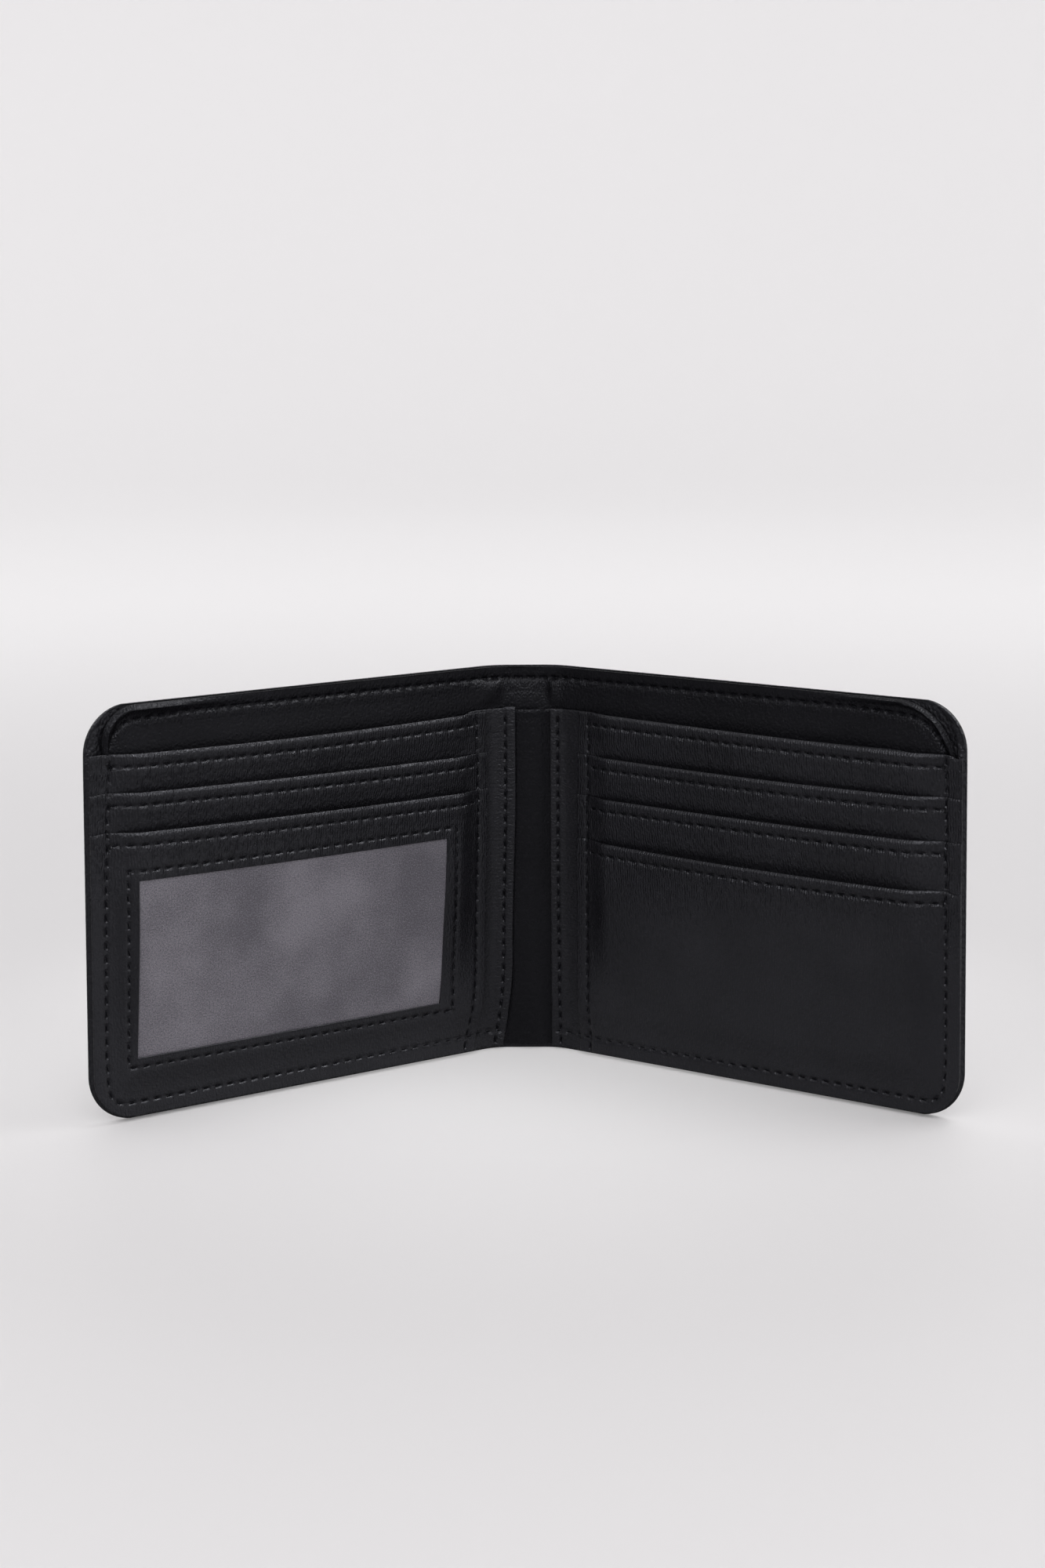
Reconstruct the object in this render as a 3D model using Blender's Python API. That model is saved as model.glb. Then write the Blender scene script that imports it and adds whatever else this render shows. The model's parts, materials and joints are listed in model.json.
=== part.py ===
"""A bifold wallet, standing open on its bottom edge.

The frame: +Z is up and z = 0 is the surface that the wallet stands on. The spine is at
the back, its leather's mid-plane at y = 0, and the inside of the wallet faces -Y. The
origin is the middle of the spine's bottom edge. Both wings come forward from two upright
fold lines, which are the joints' axes.

Every piece is a sheet. In a wing's own frame, U runs from the fold line to the wing's
outer edge, and depth runs from the shell leather's mid-plane towards the inside.
"""

import math

import bmesh
import bpy

# The wallet's outside
HEIGHT = 0.095
WING_WIDTH = 0.109  # from the fold line to the outer edge
SPINE_WIDTH = 0.016  # between the fold lines
CORNER_RADIUS = 0.011
REST_TURN = math.radians(33.8)  # how far each wing is turned in from flat

# Thicknesses of the sheets
LEATHER = 0.0005
BOARD = 0.0004
FABRIC = 0.0002
FILM = 0.0002

# How the sheets are laid on each other, from the outside in
LAYER_GAP = 0.00025
BILL_GAP = 0.0004  # the space of a banknote compartment
FOLD_GAP = 0.0002  # added to each sheet's mitre at the fold

# Outlines
TRIM_INSET = 0.0012  # the inner sheets stop this far inside the shell's edge
BOARD_START = 0.003
BOARD_INSET = 0.010  # the board stays clear of the seams and of the pressed edges beside them
INNER_PANEL_TOP = 0.0847
SLIP_PANEL_START = 0.0036  # the free edge that opens towards the spine
LEFT_POCKET_START = 0.005
RIGHT_POCKET_START = 0.008
LEFT_POCKET_TOPS = (0.0845, 0.0750)
RIGHT_POCKET_TOPS = (0.0844, 0.0744, 0.0643, 0.0542)
WINDOW_PANEL_TOP = 0.0660
WINDOW_START = 0.0168
WINDOW_WIDTH = 0.0814
WINDOW_BOTTOM = 0.0146
WINDOW_HEIGHT = 0.0410
FILM_MARGIN = 0.0025  # the film reaches this far behind the window's frame
ARC_STEPS = 10

# A sheet's depths, lowest and highest, are measured from the shell's mid-plane
SHELL_DEPTH = (-LEATHER / 2, LEATHER / 2)
BOARD_DEPTH = (SHELL_DEPTH[1] + LAYER_GAP, SHELL_DEPTH[1] + LAYER_GAP + BOARD)
LINING_DEPTH = (BOARD_DEPTH[1] + LAYER_GAP, BOARD_DEPTH[1] + LAYER_GAP + FABRIC)
DIVIDER_DEPTH = (LINING_DEPTH[1] + BILL_GAP, LINING_DEPTH[1] + BILL_GAP + LEATHER)
INNER_PANEL_DEPTH = (DIVIDER_DEPTH[1] + BILL_GAP, DIVIDER_DEPTH[1] + BILL_GAP + LEATHER)
SLIP_PANEL_DEPTH = (
    INNER_PANEL_DEPTH[1] + LAYER_GAP,
    INNER_PANEL_DEPTH[1] + LAYER_GAP + LEATHER,
)

# Colours are linear, with the material's roughness after them
OUTER_LEATHER = ((0.010, 0.010, 0.013, 1.0), 0.55)
INNER_LEATHER = ((0.016, 0.016, 0.018, 1.0), 0.45)
LINING_CLOTH = ((0.008, 0.008, 0.009, 1.0), 0.90)
STIFF_BOARD = ((0.170, 0.130, 0.090, 1.0), 0.85)
FROSTED_FILM = ((0.130, 0.125, 0.140, 1.0), 0.35)


def material(name, look):
    """A Principled material with one colour and roughness, made once for each name."""
    made = bpy.data.materials.get(name)
    if made:
        return made
    colour, roughness = look
    made = bpy.data.materials.new(name)
    made.use_nodes = True
    shader = made.node_tree.nodes["Principled BSDF"]
    shader.inputs["Base Color"].default_value = colour
    shader.inputs["Roughness"].default_value = roughness
    shader.inputs["Metallic"].default_value = 0.0
    return made


def arc(centre_u, centre_z, radius, first_degree):
    """A quarter circle of outline points, anticlockwise from first_degree."""
    points = []
    for step in range(ARC_STEPS + 1):
        angle = math.radians(first_degree + 90 * step / ARC_STEPS)
        points.append((centre_u + radius * math.cos(angle), centre_z + radius * math.sin(angle)))
    return points


def outline(start, end, bottom, top, low_radius=0.0, high_radius=0.0):
    """A rectangle in U and Z whose two outer corners may be rounded."""
    points = [(start, bottom)]
    if low_radius:
        points += arc(end - low_radius, bottom + low_radius, low_radius, -90)
    else:
        points.append((end, bottom))
    if high_radius:
        points += arc(end - high_radius, top - high_radius, high_radius, 0)
    else:
        points.append((end, top))
    points.append((start, top))
    return points


def sheet(name, look, parent, side, points, depth, look_name):
    """A flat sheet cut to an outline. side is 1 for the right wing and -1 for the left."""
    mesh = bpy.data.meshes.new(name)
    bm = bmesh.new()
    near, far = depth
    rim = [bm.verts.new((side * u, -near, z)) for u, z in points]
    face = bm.faces.new(rim)
    grown = bmesh.ops.extrude_face_region(bm, geom=[face])
    front = [item for item in grown["geom"] if isinstance(item, bmesh.types.BMVert)]
    bmesh.ops.translate(bm, verts=front, vec=(0, near - far, 0))
    bmesh.ops.recalc_face_normals(bm, faces=bm.faces)
    bm.to_mesh(mesh)
    bm.free()
    piece = bpy.data.objects.new(name, mesh)
    bpy.context.scene.collection.objects.link(piece)
    mesh.materials.append(material(look_name, look))
    piece.parent = parent
    return piece


def fold_empty(name, side):
    """The empty on a fold line, turned with its wing."""
    empty = bpy.data.objects.new(name, None)
    empty.empty_display_size = HEIGHT / 4
    empty.location = (side * SPINE_WIDTH / 2, 0, 0)
    empty.rotation_euler = (0, 0, -side * REST_TURN)
    bpy.context.scene.collection.objects.link(empty)
    return empty


def mitre(depth):
    """Where a sheet that bends at the fold stops short of it, so that a closed fold is clear."""
    return depth[1] + FOLD_GAP


def spine_sheet(name, look, look_name, bottom, top, depth):
    """The stretch of a folding sheet between the two fold lines."""
    half = SPINE_WIDTH / 2 - mitre(depth)
    points = outline(-half, half, bottom, top)
    return sheet(name, look, None, 1, points, depth, look_name)


def build_spine():
    """The spine's part of each sheet that runs through both folds."""
    low = TRIM_INSET
    high = HEIGHT - TRIM_INSET
    spine_sheet("shell_spine", OUTER_LEATHER, "outer_leather", 0.0, HEIGHT, SHELL_DEPTH)
    spine_sheet("lining_spine", LINING_CLOTH, "lining_cloth", low, high, LINING_DEPTH)
    spine_sheet("divider_spine", INNER_LEATHER, "inner_leather", low, high, DIVIDER_DEPTH)
    spine_sheet(
        "inner_panel_spine", INNER_LEATHER, "inner_leather", low, INNER_PANEL_TOP, INNER_PANEL_DEPTH
    )


def build_wing_back(label, side, fold):
    """The sheets that a wing shares with the spine, its board and its slip pocket."""
    inset_edge = WING_WIDTH - TRIM_INSET
    inset_radius = CORNER_RADIUS - TRIM_INSET
    low = TRIM_INSET
    high = HEIGHT - TRIM_INSET

    shell = outline(
        mitre(SHELL_DEPTH), WING_WIDTH, 0.0, HEIGHT, CORNER_RADIUS, CORNER_RADIUS
    )
    sheet("shell_" + label, OUTER_LEATHER, fold, side, shell, SHELL_DEPTH, "outer_leather")

    board_radius = CORNER_RADIUS - BOARD_INSET
    board = outline(
        BOARD_START,
        WING_WIDTH - BOARD_INSET,
        BOARD_INSET,
        HEIGHT - BOARD_INSET,
        board_radius,
        board_radius,
    )
    sheet("stiffener_" + label, STIFF_BOARD, fold, side, board, BOARD_DEPTH, "stiff_board")

    lining = outline(mitre(LINING_DEPTH), inset_edge, low, high, inset_radius, inset_radius)
    sheet("lining_" + label, LINING_CLOTH, fold, side, lining, LINING_DEPTH, "lining_cloth")

    divider = outline(mitre(DIVIDER_DEPTH), inset_edge, low, high, inset_radius, inset_radius)
    sheet("divider_" + label, INNER_LEATHER, fold, side, divider, DIVIDER_DEPTH, "inner_leather")

    panel = outline(mitre(INNER_PANEL_DEPTH), inset_edge, low, INNER_PANEL_TOP, inset_radius)
    sheet(
        "inner_panel_" + label, INNER_LEATHER, fold, side, panel, INNER_PANEL_DEPTH, "inner_leather"
    )

    slip = outline(SLIP_PANEL_START, inset_edge, low, INNER_PANEL_TOP, inset_radius)
    sheet("slip_pocket_" + label, INNER_LEATHER, fold, side, slip, SLIP_PANEL_DEPTH, "inner_leather")


def front_depth(index, thickness=LEATHER):
    """The depths of the sheet that lies index sheets in front of the slip pocket."""
    near = SLIP_PANEL_DEPTH[1] + LAYER_GAP + index * (LEATHER + LAYER_GAP)
    return near, near + thickness


def front_outline(start, top):
    """A card pocket's outline, from the bottom seam up to its open top edge."""
    end = WING_WIDTH - TRIM_INSET
    return outline(start, end, TRIM_INSET, top, CORNER_RADIUS - TRIM_INSET)


def build_card_pockets(label, side, fold, start, tops):
    """A stack of card pockets, each one in front of the last and lower than it."""
    for index, top in enumerate(tops):
        name = "card_pocket_" + label + "_" + str(index + 1)
        points = front_outline(start, top)
        sheet(name, INNER_LEATHER, fold, side, points, front_depth(index), "inner_leather")


def build_window(side, fold):
    """The ID window's clear film and the leather frame in front of it."""
    first = len(LEFT_POCKET_TOPS)
    film_depth = front_depth(first, FILM)
    film = outline(
        WINDOW_START - FILM_MARGIN,
        WINDOW_START + WINDOW_WIDTH + FILM_MARGIN,
        WINDOW_BOTTOM - FILM_MARGIN,
        WINDOW_BOTTOM + WINDOW_HEIGHT + FILM_MARGIN,
    )
    sheet("window_film", FROSTED_FILM, fold, side, film, film_depth, "frosted_film")

    near = film_depth[1] + LAYER_GAP
    depth = (near, near + LEATHER)
    points = front_outline(LEFT_POCKET_START, WINDOW_PANEL_TOP)
    panel = sheet("window_panel", INNER_LEATHER, fold, side, points, depth, "inner_leather")
    hole = outline(
        WINDOW_START,
        WINDOW_START + WINDOW_WIDTH,
        WINDOW_BOTTOM,
        WINDOW_BOTTOM + WINDOW_HEIGHT,
    )
    cut_depth = (near - LEATHER, near + 2 * LEATHER)
    cutter = sheet("window_cutter", INNER_LEATHER, fold, side, hole, cut_depth, "inner_leather")
    cutter.hide_render = True
    cutter.display_type = "WIRE"
    cut = panel.modifiers.new("window", "BOOLEAN")
    cut.operation = "DIFFERENCE"
    cut.solver = "EXACT"
    cut.object = cutter


def main():
    for old in list(bpy.data.objects):
        bpy.data.objects.remove(old, do_unlink=True)
    left_fold = fold_empty("left_fold", -1)
    right_fold = fold_empty("right_fold", 1)
    build_spine()
    build_wing_back("left", -1, left_fold)
    build_wing_back("right", 1, right_fold)
    build_card_pockets("left", -1, left_fold, LEFT_POCKET_START, LEFT_POCKET_TOPS)
    build_card_pockets("right", 1, right_fold, RIGHT_POCKET_START, RIGHT_POCKET_TOPS)
    build_window(-1, left_fold)


main()
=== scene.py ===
"""The looks of a bifold wallet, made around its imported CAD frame.

Lengths are millimetres until a mesh is made, and a sheet's points are given on the sheet
itself. Q runs along it from the middle of the spine, through the fold, to the wing's outer
edge. Z runs up from the floor. Depth runs from the middle of the shell leather towards the
inside of the wallet. The left half is the right one mirrored.
"""

import json
import math

import bpy
import numpy as np
from mathutils import Euler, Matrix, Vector


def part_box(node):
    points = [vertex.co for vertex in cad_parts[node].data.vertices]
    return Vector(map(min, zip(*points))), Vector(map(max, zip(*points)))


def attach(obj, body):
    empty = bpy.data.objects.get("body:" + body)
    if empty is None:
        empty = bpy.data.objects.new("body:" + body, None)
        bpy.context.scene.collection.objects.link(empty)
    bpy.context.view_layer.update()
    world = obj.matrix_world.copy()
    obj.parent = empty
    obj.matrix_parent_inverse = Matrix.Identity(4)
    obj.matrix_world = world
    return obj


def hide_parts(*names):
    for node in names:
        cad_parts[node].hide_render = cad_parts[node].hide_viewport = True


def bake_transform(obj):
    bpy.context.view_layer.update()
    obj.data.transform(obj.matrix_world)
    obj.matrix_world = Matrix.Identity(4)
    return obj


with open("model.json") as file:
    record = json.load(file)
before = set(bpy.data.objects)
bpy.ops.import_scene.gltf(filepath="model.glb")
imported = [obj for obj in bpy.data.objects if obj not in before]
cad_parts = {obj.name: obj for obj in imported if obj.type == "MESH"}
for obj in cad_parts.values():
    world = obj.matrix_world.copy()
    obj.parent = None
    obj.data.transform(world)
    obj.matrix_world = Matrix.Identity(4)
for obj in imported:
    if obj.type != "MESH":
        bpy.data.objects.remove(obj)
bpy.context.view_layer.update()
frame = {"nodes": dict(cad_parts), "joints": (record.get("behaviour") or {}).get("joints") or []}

METRES = 0.001  # of one millimetre

# Sizes that come from the frame
JOINTS = {joint["name"]: joint for joint in frame["joints"]}
HALF_SPINE = JOINTS["right_fold"]["pos_m"][0] / METRES
TURN = -math.radians(JOINTS["right_fold"]["range_deg"][0])
SHELL_LOW, SHELL_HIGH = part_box("shell_spine")
HEIGHT = (SHELL_HIGH[2] - SHELL_LOW[2]) / METRES
SHELL_BACK = SHELL_HIGH[1] / METRES
OUTER_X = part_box("shell_right")[1][0] / METRES
WING = (OUTER_X - HALF_SPINE - SHELL_BACK * math.sin(TURN)) / math.cos(TURN)
OUTER_EDGE = HALF_SPINE + WING
CORNER = 11.0

# The fold
ROUND = 3.6  # how far the bend reaches along the leather on each side of the fold line
BEND_START = 4.0  # the fold's two ends, from the fold line along the spine and along the wing; through_fold works them out but nothing uses them
BEND_END = 5.0

# The seams
SEAM_SIDE = 3.7  # from the wing's outer edge
SEAM_BOTTOM = 4.8
SEAM_TOP = 3.0
HEM_SEAM = 2.9  # from a pocket's open edge
HEM_WIDTH = 5.6
SLIP_SEAM = 2.75
STITCH = 3.1  # one stitch and its gap
THREAD = 0.17  # radius
SLANT = 0.12  # how far a stitch's two ends lie off the seam's line, to either side

# The sheets' edges. Where there are two numbers, -1 is the left wing and 1 the right one.
INNER_SEAM = {-1: 14.7, 1: 19.1}  # the card pockets' inner seam
POCKET_START = {-1: 12.1, 1: 16.3}
SLIP_START = {-1: 2.3, 1: 6.9}
INSET = 2.2  # from the shell's outer edge to those of the hidden sheets
CORNER_INSET = {-1: 4.1, 1: 2.2}  # the same to the divider's upper corner
SEWN_RADIUS = {-1: 8.0, 1: 14.5}  # of that corner

# How the sheets lie
REACH = 8.5  # the press of a seam reaches this far
INNER_REACH = 7.0
WALL_TOP = 84.5
WALL_BOW = 1.5  # the pockets stand open from the banknote compartment by this much
SKEW = {-1: 1.0, 1: 1.15}  # above 1, the fullest place lies further from the spine
DIP = 0.95  # a pocket's face goes back by this much behind the next pocket's mouth
THINNER = 0.78  # the share by which the sheets lie closer together near the bottom
GROOVE = 0.20  # how deep a seam draws the leather in

# How far apart the lines of a sheet's grid are
FINE = 0.40
EVEN = 0.62
HIDDEN = 3.2


def smooth(x):
    """0 below 0, 1 above 1, and an even S between them."""
    x = np.clip(x, 0.0, 1.0)
    return x * x * (3.0 - 2.0 * x)


def bell(x, width):
    return np.exp(-((x / width) ** 2))


def rounded(down):
    """The share of its full thickness that a rolled edge has at a distance below its top."""
    return np.sqrt(np.clip(1 - (1 - np.minimum(down, 0.8) / 0.8) ** 2, 0.12, 1))


def ripple(q, z, seed, length):
    """A smooth uneven wave between about -1 and 1, the same one each time."""
    random = np.random.default_rng(seed)
    total = np.zeros(np.broadcast(q, z).shape)
    for _ in range(5):
        turn, phase = random.uniform(0, 2 * math.pi, 2)
        pace = 2 * math.pi / (length * random.uniform(0.7, 1.6))
        total = total + np.sin(pace * (np.cos(turn) * q + np.sin(turn) * z) + phase)
    return total / 3.0


def arch(q, skew=1.0):
    """0 at the fold and at the outer seam, and 1 between them."""
    share = np.clip((q - HALF_SPINE - 2) / (WING - SEAM_SIDE - 2), 0, 1)
    return np.sin(math.pi * share**skew)


def inside(q, z, right, low, high, low_radius, high_radius):
    """How far a point lies inside an outline that is rounded at its two outer corners."""
    side = right - q
    depths = []
    for gap, radius in ((z - low, low_radius), (high - z, high_radius)):
        corner = radius - np.hypot(np.maximum(radius - side, 0), np.maximum(radius - gap, 0))
        depths.append(np.where((side < radius) & (gap < radius), corner, np.minimum(side, gap)))
    return np.minimum(depths[0], depths[1])


def corner_cut(radius, gap):
    """How much a rounded corner takes off the side, a gap away from where the side ends."""
    past = np.clip(radius - gap, 0, radius)
    return radius - np.sqrt(np.maximum(radius**2 - past**2, 0))


def inside_shell(q, z):
    return inside(q, z, OUTER_EDGE, 0.0, HEIGHT, CORNER, CORNER)


def inside_seam(q, z, top=HEIGHT - SEAM_TOP):
    """Distance inside the seam round the wing. With a high top, the tops of the sheets are free."""
    return inside(q, z, OUTER_EDGE - SEAM_SIDE, SEAM_BOTTOM, top, 5.0, 9.0)


def place(side, q, z, depth):
    """The point in the CAD frame, in metres, of a place on a folded sheet."""
    share = np.clip((q - HALF_SPINE + ROUND) / (2 * ROUND), 0, 1)
    angle = share * TURN
    radius = ROUND / math.tan(TURN / 2)
    before = np.minimum(q, HALF_SPINE - ROUND)
    after = np.maximum(q - HALF_SPINE - ROUND, 0)
    x = before + (radius - depth) * np.sin(angle) + after * math.cos(TURN)
    y = -radius + (radius - depth) * np.cos(angle) - after * math.sin(TURN)
    return np.stack([side * x, y, z + 0 * x], axis=-1) * METRES


def arc_points(q, z, radius, first, last, steps=16):
    angles = np.radians(np.linspace(first, last, steps))
    return [(q + radius * math.cos(a), z + radius * math.sin(a)) for a in angles]


class Seam:
    """A row of stitches along a line of (q, z) points on the sheets."""

    def __init__(self, points):
        self.points = np.array(points, float)
        steps = np.diff(self.points, axis=0)
        self.lengths = np.linalg.norm(steps, axis=1)
        self.ways = steps / self.lengths[:, None]
        self.along = np.concatenate([[0], np.cumsum(self.lengths)])
        self.count = max(1, int(round(self.along[-1] / STITCH)))
        self.pitch = self.along[-1] / self.count

    def nearest(self, q, z):
        """The distance to the line from each point, and the place along it."""
        best = np.full(np.broadcast(q, z).shape, 1e3)
        where = np.zeros(best.shape)
        for first, way, length, start in zip(self.points, self.ways, self.lengths, self.along):
            across_q, across_z = q - first[0], z - first[1]
            forward = np.clip(across_q * way[0] + across_z * way[1], 0, length)
            distance = np.hypot(across_q - forward * way[0], across_z - forward * way[1])
            nearer = distance < best
            best = np.where(nearer, distance, best)
            where = np.where(nearer, start + forward, where)
        return best, where

    def groove(self, q, z):
        """1 under the middle of a stitch, less between two stitches, and 0 away from the seam."""
        distance, where = self.nearest(q, z)
        beat = 0.65 - 0.35 * np.cos(2 * math.pi * where / self.pitch)
        return bell(distance, 0.55) * beat

    def at(self, distance, across):
        """The point at a distance along the line, and across it to the left."""

        def on_line(place_at):
            return [np.interp(place_at, self.along, self.points[:, axis]) for axis in (0, 1)]

        (q, z), (last, high) = on_line(distance), on_line(distance + 0.1)
        first, low = on_line(distance - 0.1)
        size = np.hypot(last - first, high - low)
        return q - across * (high - low) / size, z + across * (last - first) / size


def grid_lines(start, end, coarse, fine=(), exact=(), steps=()):
    """Places from start to end, close together within reach of each (middle, reach) of fine.

    steps holds (low, high, step) stretches that have a step of their own, and each place of
    exact is one of the lines.
    """
    stops = sorted({start, end, *[x for x in exact if start < x < end]})
    lines = [start]
    for low, high in zip(stops, stops[1:]):
        at = low
        while at < high - 1e-6:
            step = coarse
            for first, last, own in steps:
                if first <= at < last:
                    step = own
            if any(abs(at - middle) < reach for middle, reach in fine):
                step = min(step, FINE)
            at = high if high - at < 1.4 * step else at + step
            lines.append(at)
    return np.array(lines)


class Sheet:
    """One sheet of leather, cloth or film: where it lies and how thick it is."""

    start, end = 0.0, OUTER_EDGE
    low, top = 0.0, HEIGHT
    low_radius, high_radius = CORNER, 0.0
    hem = 0.0  # the width of the turned edge along the top
    side_hem = 0.0  # the same along the inner edge
    inner_depth = None  # at the inner seam, for the card pockets
    sewn_top = False
    wall = 0.0  # how far it stands open from the compartment, with the whole front wall
    skew = 1.0
    mouth = 0.0  # how much further the top edge bows out
    covered = None  # the height below which the next pocket hides it
    seed, wave = 1, 0.10  # of its unevenness
    window = None
    hem_seam = None
    seams = ()
    folds = True  # False for a sheet that lies on one wing alone

    def __init__(self, side, rest, pressed, thick, **more):
        self.side = side
        self.rest = rest  # the depth of its middle away from the seams
        self.pressed = pressed  # the same at the outer seam
        self.thick = thick
        for key, value in more.items():
            setattr(self, key, value)

    def lift(self, q):
        """How far the top edge lies above its level."""
        return 0.0 * q

    def swing(self, z):
        """The inner edges of the left wing swing outwards near the bottom."""
        if self.side > 0 or self.start == 0.0:
            return 0.0 * z
        return 3.4 * np.clip((24.0 - z) / 24.0, 0, 1) ** 2 + 0.9 * smooth((66.0 - z) / 40.0)

    def edge(self, z):
        """The sheet's outer edge at a height, with its rounded corners."""
        low = corner_cut(self.low_radius, z - self.low)
        return self.end - np.maximum(low, corner_cut(self.high_radius, self.top - z))

    def down(self, q, z):
        """The distance below the top edge."""
        return self.top + self.lift(q) - z

    def press(self, q, z):
        """0 at the outer seam and beyond it, and 1 where the sheet lies free."""
        free = inside_seam(q, z) if self.sewn_top else inside_seam(q, z, 3 * HEIGHT)
        return smooth(free / REACH)

    def inner_press(self, q, z):
        """The same at a card pocket's inner seam."""
        if self.inner_depth is None:
            return 1.0 + 0.0 * q
        return smooth((q - INNER_SEAM[self.side] - self.swing(z)) / INNER_REACH)

    def turned(self, q, z):
        """1 on the turned edges, 0 on the single sheet."""
        top = smooth((self.hem - self.down(q, z)) / 0.7) if self.hem else 0.0 * q
        near = self.start + self.swing(z) + self.side_hem - q
        return np.maximum(top, smooth(near / 0.7)) if self.side_hem else top

    def thickness(self, q, z):
        loose = np.minimum(self.press(q, z), self.inner_press(q, z))
        down = self.down(q, z)
        roll = 0.26 * bell(down - 0.5, 0.7) if self.hem_seam else 0.0
        turned = 1 + 0.8 * self.turned(q, z) * (0.5 + 0.5 * loose)
        full = self.thick * (0.72 + 0.28 * loose) * turned + roll
        return full * rounded(down) if self.hem else full

    def middle(self, q, z):
        """The depth of the middle of the sheet."""
        press, inner = self.press(q, z), self.inner_press(q, z)
        down = self.down(q, z)
        bow = arch(q, self.skew)
        low_down = smooth((48.0 - z) / 44.0)
        free = self.rest - THINNER * (self.rest - self.pressed) * low_down
        free = free + self.wave * (1 - 0.8 * low_down) * ripple(q, z, self.seed, 42.0)
        free = free + self.mouth * bow * smooth(1 - down / 26.0)
        if self.covered is not None:
            level = self.covered + self.lift(q) * 0.7
            free = free - DIP * np.clip((level + 5.6 - z) / 6.0, 0, 1) ** 2 * (1 - low_down)
        if self.inner_depth is not None:
            free = self.inner_depth + (free - self.inner_depth) * inner
        free = free + self.wall * bow * np.clip(z / WALL_TOP, 0, 1.1) ** 1.5
        if self.hem_seam is not None:
            free = free + 0.22 * np.sin(math.pi * np.clip(down / HEM_SEAM, 0, 1)) * inner
            free = free - 1.3 * GROOVE * self.hem_seam.groove(q, z) * inner
        depth = self.pressed + (free - self.pressed) * press
        for seam in self.seams:
            depth = depth - GROOVE * seam.groove(q, z)
        return depth

    def front(self, q, z):
        return self.middle(q, z) + self.thickness(q, z) / 2

    def stitching(self, q, z):
        """For each point, the distance to the nearest seam and the place along it in stitches."""
        best = np.full(np.broadcast(q, z).shape, 9.0)
        where = np.zeros(best.shape)
        for seam in [*self.seams, self.hem_seam] if self.hem_seam else self.seams:
            distance, along = seam.nearest(q, z)
            nearer = distance < best
            best = np.where(nearer, distance, best)
            where = np.where(nearer, along / seam.pitch, where)
        return np.stack([best, where, 0 * best], axis=-1)

    def covers(self, q, z):
        within = (q >= self.start + self.swing(z)) & (q <= self.edge(z))
        return within & (z >= self.low) & (self.down(q, z) >= 0)

    def grid(self, q_lines, z_lines):
        """The columns are spread between the sheet's two edges, and the top rows follow its top."""
        z = np.repeat(z_lines[:, None], len(q_lines), axis=1)
        start = self.start + self.swing(z_lines)
        end = self.edge(z_lines)
        squeeze = (end - start) / (self.end - self.start)
        q = start[:, None] + (q_lines[None, :] - self.start) * squeeze[:, None]
        return q, z + self.lift(q) * smooth((z - self.top + 18.0) / 18.0)


def rounded_rows(sheet, lines):
    """Adds rows where the rounded corners turn, so that the outline is smooth."""
    shares = [1 - math.cos(math.pi / 2 * step / 12) for step in range(1, 12)]
    extra = [sheet.low + sheet.low_radius * share for share in shares if sheet.low_radius]
    extra += [sheet.top - sheet.high_radius * share for share in shares if sheet.high_radius]
    ends = (lines[0], lines[-1])
    kept = [z for z in lines if z in ends or all(abs(z - other) > 0.25 for other in extra)]
    return np.array(sorted(kept + extra))


def borders(cells, corners):
    """The directed edges round the kept cells of a grid, anticlockwise like each cell's corners."""
    rows, columns = cells.shape
    padded = np.pad(cells, 1)
    edges = []
    for turn, (up, right) in enumerate(((-1, 0), (0, 1), (1, 0), (0, -1))):
        beside = padded[1 + up : rows + 1 + up, 1 + right : columns + 1 + right]
        edges.append(corners[cells & ~beside][:, [turn, (turn + 1) % 4]])
    return np.concatenate(edges)


RIM_ROUND = 0.38  # the rim's greatest reach along the sheet
RIM_LAYERS = (60, 30, 0, -30, -60)  # round the rim, in degrees from its middle


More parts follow.
